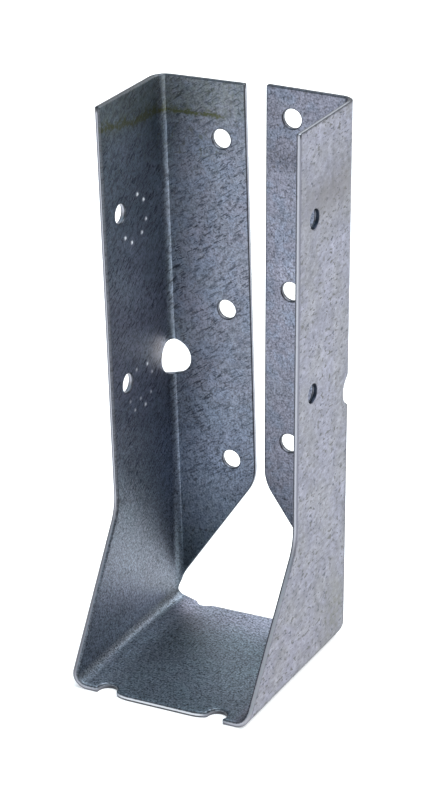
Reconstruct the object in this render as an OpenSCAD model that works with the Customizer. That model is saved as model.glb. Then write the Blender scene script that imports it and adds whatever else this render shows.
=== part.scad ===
// Concealed-flange joist hanger, folded from one sheet of galvanised steel.
//
// Seen from the open front: +X is right, +Z is up and the two flanges close the back (+Y).
// The origin is the centre of the seat's underside. A flat blank is punched, then folded
// along four lines: the seat turns up into two sides, and each side turns inwards at the
// back into a flange that is nailed to the header.

/* [Sheet] */
// Thickness of the sheet
sheet_t = 1.2; // [0.9:0.1:1.6]
// Inside radius of every fold
fold_r = 2.3; // [1.6:0.1:2.8]

/* [Joist pocket] */
// Clear width between the sides, measured at the seat
pocket_w = 39.7; // [36:0.1:60]
// Height of the sides over the underside of the seat
side_h = 120.6; // [112:0.1:160]
// Depth of the seat, front edge to rear edge
seat_depth = 43.1; // [38:0.1:60]
// Gap between the seat's rear edge and the back of the flanges
seat_setback = 3.9; // [3:0.1:6]
// Gap between the seat's rear corners and the back of the flanges
corner_setback = 2.1; // [1.5:0.1:3]
// How far the front edge beyond the left notch stands back from the middle one
left_lip_setback = 0.6; // [-0.4:0.1:0.8]
// How far the front edge beyond the right notch stands back from the middle one
right_lip_setback = -0.2; // [-0.4:0.1:0.8]

/* [Sides] */
// Depth of each side above the knee
side_depth = 25.8; // [23:0.1:32]
// Height at which the flared front edge meets the straight one
knee_h = 32.4; // [28:0.1:50]
// Radius of the front edge at the knee
knee_r = 10; // [4:0.5:14]
// Height over the seat's top at which the flared edge meets the line of the seat's front
flare_foot_rise = 0.7; // [0.7:0.1:3]
// Largest radius where the flared edge runs out into the seat's front edge
flare_foot_r = 4.5; // [1:0.5:5]
// Angle by which the left side stands off square
left_lean = 0; // [0:0.01:3]
// Angle by which the right side stands off square
right_lean = 1.79; // [0:0.01:3]

/* [Flanges] */
// Width of the left flange, with its fold
left_flange_w = 20.8; // [18:0.1:21]
// Width of the right flange, with its fold
right_flange_w = 20.1; // [18:0.1:21]
// Height of each flange's lower corner, before it is rounded
flange_corner_h = 31.9; // [26:0.1:40]
// Angle of each flange's lower edge to the vertical
flange_cut_angle = 35.5; // [34:0.5:37]
// Radius of each flange's lower corner
flange_corner_r = 9.5; // [2:0.5:12]
// Width of metal left beside each corner relief, seen from the front
relief_web = 1.7; // [1.4:0.1:2]
// Radius of each corner relief, seen from the front
relief_r = 6.5; // [4:0.5:7]

/* [Nail holes] */
// Diameter of each nail hole
nail_hole_d = 4.4; // [3.5:0.1:5]
// Distance from the outside of the left side to its flange holes
left_face_inset = 14.9; // [12:0.1:16]
// Distance from the outside of the right side to its flange holes
right_face_inset = 14.6; // [12:0.1:16]
// Height of the left flange's lowest hole
face_hole_h = 36.1; // [35.5:0.1:37]
// Pitch from the lowest flange hole to the middle one
face_pitch_low = 34.6; // [30:0.1:35]
// Pitch from the middle flange hole to the top one
face_pitch_high = 37.5; // [34:0.1:38]
// How much higher the right flange's holes sit
face_stagger = 6; // [0:0.1:6]
// Distance from the back of the flanges to the joist holes
joist_hole_inset = 19.5; // [15:0.1:21]
// Height of the left side's lower joist hole
joist_hole_h = 58.7; // [48:0.1:62]
// Pitch of the two joist holes
joist_pitch = 37.4; // [30:0.1:40]
// How much higher the right side's joist holes sit
joist_stagger = 5.2; // [0:0.1:6]

/* [Other cut-outs] */
// Diameter of the round opening across each rear fold
fold_hole_d = 8.5; // [5:0.1:9]
// Height of the centre of that opening
fold_hole_h = 57.8; // [50:0.1:70]
// Shift of its centre from the middle of the fold towards the flange
fold_hole_shift = 0.6; // [-1:0.1:1]
// Diameter of the four half-round notches in the seat
notch_d = 4.3; // [3:0.1:5]
// Distance between the notches of one edge
notch_pitch = 25.7; // [20:0.1:28]
// Distance from the front edge in to the centre of a front notch
front_notch_inset = 1.1; // [0:0.1:2]
// Distance from the rear edge out to the centre of a rear notch
rear_notch_outset = 1.3; // [0.5:0.1:2]
// Radius of the seat's front corners between the two notches
tongue_r = 6.5; // [6:0.5:8]

/* [Hidden] */
$fn = 96;

outer_r = fold_r + sheet_t;
half_w = pocket_w / 2 + sheet_t;
seat_edge_x = half_w - outer_r;
front_y = -seat_depth / 2;
rear_y = seat_depth / 2;
back_y = rear_y + seat_setback;
corner_y = back_y - corner_setback;
side_front_y = back_y - side_depth;
// Angle of the flared front edge to the vertical
flare_angle = atan((side_front_y - front_y) / (knee_h - sheet_t - flare_foot_rise));
left_lip_y = front_y + left_lip_setback;
right_lip_y = front_y + right_lip_setback;
notch_x = notch_pitch / 2;
// Length of the sheet's middle surface round a quarter turn
fold_length = (fold_r + sheet_t / 2) * PI / 2;
// Height at which the bevel behind the foot runs out
bevel_h = 2 * outer_r;
// Length of a cut that passes right through one side
through = 2 * half_w;
// How far a cut runs past the edge that it leaves
margin = 1;
// Number of straight steps in each half of a rounded corner
arc_steps = 5;

function unit(v) = v / norm(v);

// Points of the arc of radius r that rounds off a corner, from the line towards the point
// before it to the line towards the point after it.
function rounding(before, corner, after, r) =
    let (
        a = unit(before - corner),
        b = unit(after - corner),
        half_angle = acos(a * b) / 2,
        centre = corner + unit(a + b) * r / sin(half_angle)
    )
    [
        for (step = [-arc_steps:arc_steps])
            let (angle = (90 - half_angle) * step / arc_steps)
            centre - (unit(a + b) * cos(angle) + unit(a - b) * sin(angle)) * r
    ];

// A rectangle from [0, low] to [width, high] with its corner at [width, low] rounded.
module folded_section(width, low, high, r) {
    translate([0, low])
        square([width - r, high - low]);
    translate([0, low + r])
        square([width, high - low - r]);
    translate([width - r, low + r])
        circle(r = r);
}

// Stands a drawing of [x, z] upright and gives it a length along Y.
module along_y(from_y, to_y) {
    translate([0, to_y, 0])
        rotate([90, 0, 0])
            linear_extrude(to_y - from_y)
                children();
}

// Stands a drawing of [y, z] upright and gives it a length along X.
module along_x(from_x, to_x) {
    translate([from_x, 0, 0])
        rotate([90, 0, 90])
            linear_extrude(to_x - from_x)
                children();
}

// The block that fills the right half of the hanger, less an even skin of the given depth.
module half_block(skin, r) {
    near_y = front_y - margin - skin;
    intersection() {
        along_y(near_y, back_y - skin)
            folded_section(half_w - skin, skin, side_h + skin, r);
        linear_extrude(side_h + skin)
            mirror([0, 1])
                folded_section(half_w - skin, skin - back_y, -near_y, r);
    }
}

// The cut in front of the side: straight above the knee, flared forwards below it, and
// rounded where it runs out into the seat's front edge at lip_y. The rounding ends over
// the seat's top, so that the seat keeps its corner.
module front_cut(lip_y) {
    clear_y = front_y - 2 * margin;
    top = [side_front_y, side_h + margin];
    knee = [side_front_y, knee_h];
    foot_rise = flare_foot_rise + (lip_y - front_y) / tan(flare_angle);
    foot = [lip_y, sheet_t + foot_rise];
    below = [lip_y, -margin];
    foot_r = min(flare_foot_r, 0.9 * foot_rise / tan(flare_angle / 2));
    along_x(0, through)
        polygon(concat(
            [[clear_y, -margin], [clear_y, side_h + margin], top],
            rounding(top, knee, foot, knee_r),
            rounding(knee, foot, below, foot_r),
            [below]
        ));
}

// The cut beside and under the flange: its free edge, its slanted lower edge and the
// relief beside the rear fold. It stays clear of the fold at the foot.
module flange_cut(flange_w) {
    free_x = half_w - flange_w;
    web_x = half_w - relief_web;
    free_top = [free_x, side_h + margin];
    free_corner = [free_x, flange_corner_h];
    relief = [web_x, flange_corner_h - (web_x - free_x) / tan(flange_cut_angle)];
    relief_foot = [web_x, 0];
    along_y(back_y - outer_r, back_y + margin)
        intersection() {
            folded_section(half_w - sheet_t, sheet_t, side_h + margin, fold_r);
            polygon(concat(
                [[0, 0], [0, side_h + margin], free_top],
                rounding(free_top, free_corner, relief, flange_corner_r),
                rounding(free_corner, relief, relief_foot, relief_r),
                [relief_foot]
            ));
        }
}

// The cut behind the foot of the side, where two folds would otherwise meet.
module foot_cut() {
    along_x(0, through)
        polygon([
            [corner_y, -margin],
            [corner_y, corner_setback],
            [back_y, bevel_h],
            [back_y + margin, bevel_h],
            [back_y + margin, -margin]
        ]);
}

module face_holes(inset, stagger) {
    low = face_hole_h + stagger;
    for (h = [low, low + face_pitch_low, low + face_pitch_low + face_pitch_high])
        along_y(back_y - outer_r, back_y + margin)
            translate([half_w - inset, h])
                circle(d = nail_hole_d);
}

module joist_holes(stagger) {
    for (h = [joist_hole_h, joist_hole_h + joist_pitch])
        along_x(seat_edge_x, through)
            translate([back_y - joist_hole_inset, h + stagger])
                circle(d = nail_hole_d);
}

// A round opening that was punched across the rear fold line before folding. It shows
// as one circle from the back and one from the side.
module fold_hole() {
    past_fold = fold_length / 2 - fold_hole_shift;
    along_y(back_y - outer_r, back_y + margin)
        translate([seat_edge_x + past_fold, fold_hole_h])
            circle(d = fold_hole_d);
    along_x(seat_edge_x, through)
        translate([back_y - outer_r + fold_length - past_fold, fold_hole_h])
            circle(d = fold_hole_d);
}

// One side with its flange and both of its folds, drawn square, for the right hand.
module side_wall(flange_w, lip_y, face_inset, face_raise, joist_raise) {
    difference() {
        half_block(0, outer_r);
        half_block(sheet_t, fold_r);
        front_cut(lip_y);
        flange_cut(flange_w);
        foot_cut();
        face_holes(face_inset, face_raise);
        joist_holes(joist_raise);
        fold_hole();
    }
}

// Turns a side outwards about the axis of the fold at its foot, and ends that fold where
// the flat seat begins.
module leaning(angle) {
    difference() {
        translate([seat_edge_x, 0, outer_r])
            rotate([0, angle, 0])
                translate([-seat_edge_x, 0, -outer_r])
                    children();
        translate([seat_edge_x - through, front_y - 2 * margin, -margin])
            cube([through, back_y - front_y + 3 * margin, outer_r + margin]);
    }
}

// Outline of the flat seat between the two lower folds, with its four notches.
module seat_outline() {
    tongue_x = notch_x - notch_d / 2 - tongue_r / 2;
    difference() {
        polygon([
            [-seat_edge_x, left_lip_y],
            [-notch_x, left_lip_y],
            [-notch_x, front_y],
            [notch_x, front_y],
            [notch_x, right_lip_y],
            [seat_edge_x, right_lip_y],
            [seat_edge_x, corner_y],
            [notch_x, rear_y],
            [-notch_x, rear_y],
            [-seat_edge_x, corner_y]
        ]);
        for (side = [-1, 1]) {
            translate([side * notch_x, front_y + front_notch_inset])
                circle(d = notch_d);
            translate([side * notch_x, rear_y + rear_notch_outset])
                circle(d = notch_d);
            mirror([side < 0 ? 1 : 0, 0])
                difference() {
                    translate([tongue_x, front_y - margin])
                        square([notch_x - tongue_x, margin + front_notch_inset]);
                    translate([tongue_x, front_y + tongue_r])
                        circle(r = tongue_r);
                }
        }
    }
}

module hanger() {
    color([0.56, 0.59, 0.65]) {
        linear_extrude(sheet_t)
            seat_outline();
        leaning(right_lean)
            side_wall(right_flange_w, right_lip_y, right_face_inset, face_stagger, joist_stagger);
        mirror([1, 0, 0])
            leaning(left_lean)
                side_wall(left_flange_w, left_lip_y, left_face_inset, 0, 0);
    }
}

hanger();
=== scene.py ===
"""Dressed model of a concealed-flange joist hanger, folded from one galvanised sheet.

The origin is the centre of the seat's underside. +X is right, +Z is up and the open
front faces -Y. The sheet is drawn flat, as the blank that a press punches, and is then
folded. Sizes inside the classes are in millimetres, and the mesh is in metres.
"""

import logging
import math
from collections.abc import Callable
from dataclasses import dataclass
from enum import Enum
from typing import Any

import bpy
import numpy as np
from mathutils import Matrix
from mathutils.geometry import delaunay_2d_cdt


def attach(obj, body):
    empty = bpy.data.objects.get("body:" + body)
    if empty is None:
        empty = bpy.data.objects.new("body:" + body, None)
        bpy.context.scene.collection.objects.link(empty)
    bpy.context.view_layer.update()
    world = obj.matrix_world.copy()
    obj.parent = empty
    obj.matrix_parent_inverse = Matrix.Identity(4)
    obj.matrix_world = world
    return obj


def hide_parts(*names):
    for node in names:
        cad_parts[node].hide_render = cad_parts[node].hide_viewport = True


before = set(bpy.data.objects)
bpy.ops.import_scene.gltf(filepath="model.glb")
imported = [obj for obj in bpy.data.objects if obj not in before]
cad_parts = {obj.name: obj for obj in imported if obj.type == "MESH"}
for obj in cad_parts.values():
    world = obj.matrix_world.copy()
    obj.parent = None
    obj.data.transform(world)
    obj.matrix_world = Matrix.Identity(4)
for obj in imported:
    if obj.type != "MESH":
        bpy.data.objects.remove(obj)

LOG = logging.getLogger("joist_hanger")
METRES = 0.001
QUARTER = math.pi / 2
# Millimetres of the blank to one unit of its UV map.
UV_MM = 100.0
# Points on the arc of an eased corner, and on a longer arc.
CORNER_POINTS = 25
ARC_POINTS = 49
# Points read for each one kept when a line is blurred.
FINE = 4


class Hand(Enum):
    """The two sides of the hanger, by the sign of X."""

    LEFT = -1
    RIGHT = 1


# ---- The sheet and its folds ----


@dataclass(frozen=True)
class Folding:
    """Carries the flat blank to its folded shape.

    A blank point has q, the distance across from the middle of the seat and up the side,
    r, the depth towards the back and on round into the flange, and n, the distance in
    from the outer face.
    """

    thickness: float = 1.2
    inner_r: float = 2.3
    half_width: float = 21.05
    back_y: float = 25.45
    left_lean: float = 0.0
    right_lean: float = 1.79
    crease_r: float = 2.8

    @property
    def outer_r(self) -> float:
        """Outside radius of a fold."""
        return self.inner_r + self.thickness

    @property
    def middle_r(self) -> float:
        """Radius of the sheet's middle surface in a fold."""
        return self.inner_r + self.thickness / 2

    @property
    def seat_edge(self) -> float:
        """Distance from the middle of the seat to where its fold begins."""
        return self.half_width - self.outer_r

    @property
    def rear_line(self) -> float:
        """Depth at which the rear fold begins."""
        return self.back_y - self.outer_r

    @property
    def flange_start(self) -> float:
        """Developed depth at which the flat flange begins."""
        return self.rear_line + self.middle_r * QUARTER

    def lean(self, hand: Hand) -> float:
        """Angle in radians by which a side stands off square."""
        return math.radians(self.left_lean if hand is Hand.LEFT else self.right_lean)

    def across(self, height: np.ndarray, hand: Hand) -> np.ndarray:
        """Developed distance q of a height on a side that is still square.

        Within the fold it is the arc length, middle_r * acos((outer_r - height) /
        middle_r), and above it the height counts on from the end of the fold.

        Args:
            height: heights over the underside of the seat.
            hand: the side that they are on.

        Returns:
            The distances q, as positive numbers.
        """
        height = np.asarray(height, float)
        turn = np.arccos(np.clip((self.outer_r - height) / self.middle_r, 0.0, 1.0))
        above = np.maximum(height - self.outer_r, 0.0)
        turn = np.minimum(turn, QUARTER - self.lean(hand))
        return self.seat_edge + self.middle_r * turn + above

    def round_back(self, inset: np.ndarray) -> np.ndarray:
        """Developed depth r of a point of the back, by its distance x from the middle.

        In the fold it is rear_line + middle_r * acos((x - seat_edge) / middle_r), and on
        the flange it counts on from flange_start.

        Args:
            inset: distances x from the middle plane, before the side leans.

        Returns:
            The depths r.
        """
        inset = np.asarray(inset, float)
        turn = np.arccos(np.clip((inset - self.seat_edge) / self.middle_r, 0.0, 1.0))
        return self.rear_line + self.middle_r * turn + np.maximum(self.seat_edge - inset, 0.0)

    def round_side(self, depth_y: np.ndarray) -> np.ndarray:
        """Developed depth r of a point of the side, by its Y.

        In the fold it is rear_line + middle_r * asin((y - rear_line) / middle_r).

        Args:
            depth_y: values of Y.

        Returns:
            The depths r.
        """
        depth_y = np.asarray(depth_y, float)
        turn = np.arcsin(np.clip((depth_y - self.rear_line) / self.middle_r, 0.0, 1.0))
        return np.minimum(depth_y, self.rear_line) + self.middle_r * turn

    @property
    def crease_angle(self) -> float:
        """Turn of the rear fold at which its wide curve meets the flange in a crease."""
        shift = self.crease_r - self.inner_r
        return math.atan2(self.inner_r, math.sqrt(self.crease_r**2 - self.inner_r**2) - shift)

    def crease(self, r: np.ndarray) -> np.ndarray:
        """How far the inner face of the rear fold lies outside its plain arc.

        Seen from the fold's axis in direction p, the face is the nearer of two lines: a
        circle of crease_r that touches the side, at sqrt(crease_r ** 2 - c ** 2 sin(p) **
        2) - c cos(p) with c = crease_r - inner_r, and the flange, at inner_r / sin(p).

        Args:
            r: the blank's depths.

        Returns:
            The distance beyond inner_r, and 0 off the fold.
        """
        p = np.clip((r - self.rear_line) / self.middle_r, 0.0, QUARTER)
        c = self.crease_r - self.inner_r
        curve = np.sqrt(self.crease_r**2 - (c * np.sin(p)) ** 2) - c * np.cos(p)
        return np.minimum(curve, self.inner_r / np.maximum(np.sin(p), 1e-6)) - self.inner_r

    def fold(self, flat: np.ndarray, depth: np.ndarray) -> np.ndarray:
        """Fold blank points into space.

        The rear fold comes first: with p = (r - rear_line) / middle_r held between 0 and
        a quarter turn, and k what is left beyond it, the point stands (outer_r - n) *
        cos(p) - k out from the fold's axis and at y = min(r, rear_line) + (outer_r - n) *
        sin(p). The lower fold then turns that distance w by the angle a = (q - seat_edge)
        / middle_r, up to a quarter turn less the lean, and carries it on by the rest h:
        x = seat + w sin(a) + h cos(a), z = outer_r - w cos(a) + h sin(a).

        Args:
            flat: one row (q, r) for each point, q negative on the left.
            depth: the distance n of each point from the outer face.

        Returns:
            One row (x, y, z) for each point, in millimetres.
        """
        sign = np.where(flat[:, 0] < 0, -1.0, 1.0)
        q, r = np.abs(flat[:, 0]), flat[:, 1]
        lean = np.where(sign < 0, self.lean(Hand.LEFT), self.lean(Hand.RIGHT))
        most = QUARTER - lean
        p = np.clip((r - self.rear_line) / self.middle_r, 0.0, QUARTER)
        beyond = np.maximum(r - self.flange_start, 0.0)
        w = (self.outer_r - depth) * np.cos(p) - beyond
        y = np.minimum(r, self.rear_line) + (self.outer_r - depth) * np.sin(p)
        a = np.clip((q - self.seat_edge) / self.middle_r, 0.0, most)
        h = np.maximum(q - self.seat_edge - self.middle_r * most, 0.0)
        x = np.minimum(q, self.seat_edge) + w * np.sin(a) + h * np.cos(a)
        z = self.outer_r - w * np.cos(a) + h * np.sin(a)
        return np.stack([sign * x, y, z], axis=1)


# ---- Lines in the plane of the blank ----


def rounded(before: tuple, corner: tuple, after: tuple, radius: float) -> np.ndarray:
    """Arc that rounds a corner, from the line before it to the line after it.

    With unit vectors a and b from the corner to its neighbours and m half the angle
    between them, the centre is corner + unit(a + b) * radius / sin(m), and the arc runs
    from -(90 - m) to +(90 - m) degrees about the line back to the corner.

    Args:
        before: the point before the corner.
        corner: the corner.
        after: the point after the corner.
        radius: radius of the arc.

    Returns:
        The points of the arc, one row each.
    """
    corner = np.array(corner, float)
    a = np.array(before, float) - corner
    b = np.array(after, float) - corner
    a, b = a / np.linalg.norm(a), b / np.linalg.norm(b)
    half = math.acos(float(np.clip(a @ b, -1, 1))) / 2
    middle = (a + b) / np.linalg.norm(a + b)
    side = (a - b) / np.linalg.norm(a - b)
    centre = corner + middle * radius / math.sin(half)
    angle = np.linspace(-1, 1, CORNER_POINTS)[:, None] * (QUARTER - half)
    return centre - (middle * np.cos(angle) + side * np.sin(angle)) * radius


def arc(centre: tuple, radius: float, start: float, end: float) -> np.ndarray:
    """Points centre + radius * (cos, sin) from one angle in radians to another."""
    angle = np.linspace(start, end, ARC_POINTS)
    return np.stack([np.cos(angle), np.sin(angle)], axis=1) * radius + centre


def even_loop(corners: np.ndarray, step: float, blur: float) -> np.ndarray:
    """A closed line at even steps, its sharp corners eased as a punch leaves them.

    The line is read at even distances along its length, then averaged round the loop
    with a bell curve of width blur, by a product of Fourier transforms.

    Args:
        corners: the corners of the line, one row each, in order.
        step: the wanted distance between points.
        blur: width of the bell curve.

    Returns:
        The points of the loop, without the first one repeated.
    """
    closed = np.vstack([corners, corners[:1]])
    lengths = np.linalg.norm(np.diff(closed, axis=0), axis=1)
    closed = closed[np.concatenate([[True], lengths > 1e-6])]
    lengths = np.linalg.norm(np.diff(closed, axis=0), axis=1)
    along = np.concatenate([[0.0], np.cumsum(lengths)])
    fine = int(along[-1] / step) * FINE
    at = np.linspace(0, along[-1], fine, endpoint=False)
    line = np.stack([np.interp(at, along, closed[:, k]) for k in (0, 1)], axis=1)
    wave = np.fft.fftfreq(fine, along[-1] / fine)
    bell = np.exp(-2 * (math.pi * blur * wave) ** 2)[:, None]
    return np.fft.ifft(np.fft.fft(line, axis=0) * bell, axis=0).real[::FINE]


def even_open(line: np.ndarray, step: float) -> np.ndarray:
    """An open line at about even steps that keeps every one of its own points.

    Each stretch of n steps has its points at start * (1 - k / n) + end * k / n.

    Args:
        line: the line's points, one row each.
        step: the longest distance between points.

    Returns:
        The line with the points between.
    """
    lengths = np.linalg.norm(np.diff(line, axis=0), axis=1)
    counts = np.maximum(np.ceil(lengths / step).astype(int), 1)
    start = np.repeat(np.arange(len(lengths)), counts)
    within = np.arange(counts.sum()) - np.repeat(np.cumsum(counts) - counts, counts)
    share = (within / counts[start])[:, None]
    points = line[start] * (1 - share) + line[start + 1] * share
    return np.vstack([points, line[-1:]])


def inward(loop: np.ndarray) -> np.ndarray:
    """Normals to the left of a closed line, shorter where it turns sharply.

    Each is the mean of the unit normals of five neighbours, so that a line moved along
    them does not cross itself at a corner.

    Args:
        loop: the closed line.

    Returns:
        One normal for each point.
    """
    ahead = np.roll(loop, -1, axis=0) - np.roll(loop, 1, axis=0)
    ahead /= np.linalg.norm(ahead, axis=1, keepdims=True)
    normal = np.stack([-ahead[:, 1], ahead[:, 0]], axis=1)
    return sum(np.roll(normal, k, axis=0) for k in range(-2, 3)) / 5


def inside(points: np.ndarray, loops: list[np.ndarray]) -> np.ndarray:
    """Whether each point is in the sheet, by counting the edges that a ray crosses.

    Args:
        points: the points to try.
        loops: the outer loop, then the holes.

    Returns:
        True for each point with an odd count.
    """
    odd = np.zeros(len(points), bool)
    x, y = points[:, :1], points[:, 1:]
    for loop in loops:
        a, b = loop, np.roll(loop, -1, axis=0)
        spans = (a[:, 1] > y) != (b[:, 1] > y)
        rise = np.where(np.abs(b[:, 1] - a[:, 1]) < 1e-12, 1e-12, b[:, 1] - a[:, 1])
        cross = a[:, 0] + (y - a[:, 1]) * (b[:, 0] - a[:, 0]) / rise
        odd ^= (np.count_nonzero(spans & (x < cross), axis=1) % 2).astype(bool)
    return odd


def nearest(points: np.ndarray, line: np.ndarray) -> np.ndarray:
    """Distance from each point to the nearest point of a line, some 400 at a time.

    Args:
        points: the points to measure from.
        line: the points to measure to.

    Returns:
        One distance for each of points.
    """
    parts = np.array_split(points, max(len(points) // 400, 1))
    found = [((part[:, None] - line[None]) ** 2).sum(2).min(1) for part in parts]
    return np.sqrt(np.concatenate(found))


def hashed(at: np.ndarray, seed: float) -> np.ndarray:
    """Repeatable scatter from -1 to 1: the fraction of a large sine of each number."""
    value = np.sin(at * 12.9898 + seed * 78.233) * 43758.5453
    return (value - np.floor(value)) * 2 - 1


# ---- The blank ----


@dataclass(frozen=True)
class SideSizes:
    """Sizes that the two sides do not share, measured as on the folded part."""

    hand: Hand
    lip_y: float
    flange_width: float
    face_inset: float
    face_heights: tuple[float, ...]
    joist_heights: tuple[float, ...]


@dataclass
class Blank:
    """The flat blank: its outline, its holes and the points that fill it."""

    folding: Folding
    sides: tuple[SideSizes, ...]
    side_height: float = 120.6
    front_y: float = -21.55
    rear_y: float = 21.55
    corner_y: float = 23.35
    side_front_y: float = -0.35
    knee_height: float = 32.4
    knee_r: float = 10.0
    foot_rise: float = 0.7
    foot_r: float = 4.5
    foot_room: float = 0.9
    flange_corner_height: float = 31.9
    flange_corner_r: float = 9.5
    cut_angle: float = 35.5
    web: float = 1.7
    relief_r: float = 6.5
    bevel_height: float = 7.0
    corner_setback: float = 2.1
    notch_x: float = 12.85
    rear_notch_x: float = 12.2
    notch_r: float = 2.15
    front_notch_inset: float = 1.1
    rear_notch_outset: float = 1.3
    tongue_r: float = 6.5
    nail_hole_r: float = 2.06
    joist_inset: float = 19.5
    fold_hole_r: float = 4.18
    fold_hole_flat: float = 0.93
    fold_hole_height: float = 58.05
    fold_hole_shift: float = 0.6
    step: float = 0.26
    blur: float = 0.3
    cell: float = 1.0
    fold_lines: int = 13
    fold_gap: float = 0.4
    fold_clear: float = 0.9
    flange_reach: float = 20.0
    crease_spread: float = 2.5

    def front(self, side: SideSizes) -> np.ndarray:
        """The line from the tongue, round the notch and up the side's front edge.

        The tongue's arc ends where it meets the notch's: the two centres are gap apart,
        and the meeting point lies (gap ** 2 + tongue_r ** 2 - notch_r ** 2) / (2 * gap)
        along from the tongue's.

        Args:
            side: the sizes of that side.

        Returns:
            Blank points with q positive, from the seat outwards and upwards.
        """
        tongue_x = self.notch_x - self.notch_r - self.tongue_r / 2
        tongue = (tongue_x, self.front_y + self.tongue_r)
        notch = (self.notch_x, self.front_y + self.front_notch_inset)
        gap = math.dist(tongue, notch)
        along = (gap**2 + self.tongue_r**2 - self.notch_r**2) / (2 * gap)
        towards = math.atan2(notch[1] - tongue[1], notch[0] - tongue[0])
        meet = towards - math.acos(along / self.tongue_r)
        met_x = tongue[0] + self.tongue_r * math.cos(meet)
        met_y = tongue[1] + self.tongue_r * math.sin(meet)
        first = math.atan2(met_y - notch[1], met_x - notch[0]) % (2 * math.pi)
        last = math.asin((side.lip_y - notch[1]) / self.notch_r)
        flare = math.atan2(
            self.side_front_y - self.front_y,
            self.knee_height - self.folding.thickness - self.foot_rise,
        )
        rise = self.foot_rise + (side.lip_y - self.front_y) / math.tan(flare)
        below = (side.lip_y, -1.0)
        foot = (side.lip_y, self.folding.thickness + rise)
        knee = (self.side_front_y, self.knee_height)
        top = (self.side_front_y, self.side_height)
        foot_r = min(self.foot_r, self.foot_room * rise / math.tan(flare / 2))
        corners = [rounded(below, foot, knee, foot_r), rounded(foot, knee, top, self.knee_r)]
        edge = even_open(np.vstack([*corners, [top]]), self.step)
        up = np.stack([self.folding.across(edge[:, 1], side.hand), edge[:, 0]], axis=1)
        lip = [[self.folding.seat_edge, side.lip_y]]
        tongue_line = arc(tongue, self.tongue_r, -QUARTER, meet)
        return np.vstack([tongue_line, arc(notch, self.notch_r, first, last), lip, up])

    def rear(self, side: SideSizes) -> np.ndarray:
        """The line down the flange, round its cut and the relief, to the seat's rear.

        Args:
            side: the sizes of that side.

        Returns:
            Blank points with q positive, from the flange's top to the middle of the seat.
        """
        fold = self.folding
        free_x = fold.half_width - side.flange_width
        web_x = fold.half_width - self.web
        drop = (web_x - free_x) / math.tan(math.radians(self.cut_angle))
        top = (free_x, self.side_height)
        corner = (free_x, self.flange_corner_height)
        relief = (web_x, self.flange_corner_height - drop)
        foot = (web_x, 0.0)
        # The line stops just over the seat's middle surface.
        end = (web_x, fold.thickness / 2 + 0.02)
        corners = [
            rounded(top, corner, relief, self.flange_corner_r),
            rounded(corner, relief, foot, self.relief_r),
        ]
        down = even_open(np.vstack([[top], *corners, [end]]), self.step)
        height = down[:, 1]
        slant = self.corner_setback / (self.bevel_height - self.corner_setback)
        bevel_y = self.corner_y + slant * np.maximum(height - self.corner_setback, 0.0)
        clear = bevel_y > fold.rear_line + fold.middle_r
        bevel_r = np.where(clear, np.inf, fold.round_side(bevel_y))
        depth = np.minimum(fold.round_back(down[:, 0]), bevel_r)
        notch = (self.rear_notch_x, self.rear_y + self.rear_notch_outset)
        line = math.atan2(self.corner_y - self.rear_y, fold.seat_edge - self.rear_notch_x)
        first = line - math.asin(self.rear_notch_outset * math.cos(line) / self.notch_r)
        last = math.asin(self.rear_notch_outset / self.notch_r) - math.pi
        return np.vstack(
            [
                np.stack([fold.across(height, side.hand), depth], axis=1),
                [[fold.seat_edge, self.corner_y]],
                arc(notch, self.notch_r, first, last),
                [[0.0, self.rear_y]],
            ]
        )

    def outline(self) -> np.ndarray:
        """The blank's outer loop, with the metal on its left.

        Returns:
            Its points, up the right side, down the left and along the seat's front.
        """
        left, right = self.sides
        mirror = np.array([-1.0, 1.0])
        over = [self.front(right), self.rear(right)]
        back = [(line * mirror)[::-1] for line in (self.rear(left), self.front(left))]
        return even_loop(np.vstack(over + back), self.step, self.blur)

    def holes(self) -> list[np.ndarray]:
        """The holes: centre + radius * (flat * cos, sin), flat being 1 for a nail's.

        Returns:
            Their loops, run clockwise so that the metal is on their left.
        """
        fold = self.folding
        joist_r = fold.back_y - self.joist_inset
        middle = (fold.rear_line + fold.flange_start) / 2 + self.fold_hole_shift
        wrapped = (self.fold_hole_height, middle, self.fold_hole_r, self.fold_hole_flat)
        found = []
        for side in self.sides:
            face_r = float(fold.round_back(fold.half_width - side.face_inset))
            places = [(h, face_r, self.nail_hole_r, 1.0) for h in side.face_heights]
            places += [(h, joist_r, self.nail_hole_r, 1.0) for h in side.joist_heights]
            for height, r, radius, flat in [*places, wrapped]:
                q = side.hand.value * float(fold.across(height, side.hand))
                count = int(2 * math.pi * radius / self.step)
                angle = -np.arange(count) * 2 * math.pi / count
                across, along = radius * flat * np.cos(angle), radius * np.sin(angle)
                found.append(np.stack([q + across, r + along], axis=1))
        return found

    def grid(self) -> np.ndarray:
        """Inner points of the blank: lines at even steps, closer together in the folds.

        Returns:
            One row (q, r) for each crossing of the lines.
        """
        fold, cell = self.folding, self.cell
        fold_q = fold.seat_edge + np.linspace(0, fold.middle_r * QUARTER, self.fold_lines)
        reach = fold_q[-1] + self.side_height
        seat_q = np.arange(cell / 2, fold.seat_edge, cell)
        side_q = np.arange(fold_q[-1] + self.fold_clear, reach, cell)
        out = np.concatenate([seat_q, fold_q, side_q])
        spread = np.radians([-self.crease_spread, 0.0, self.crease_spread])
        flange = fold.flange_start
        depth = np.concatenate(
            [
                np.arange(self.front_y, fold.rear_line - self.fold_gap, cell),
                np.linspace(fold.rear_line, flange, self.fold_lines),
                fold.rear_line + fold.middle_r * (fold.crease_angle + spread),
                np.arange(flange + self.fold_clear, flange + self.flange_reach, cell),
            ]
        )
        q, r = np.meshgrid(np.concatenate([-out[::-1], out]), depth)
        return np.stack([q.ravel(), r.ravel()], axis=1)


# ---- Shader building ----


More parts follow.
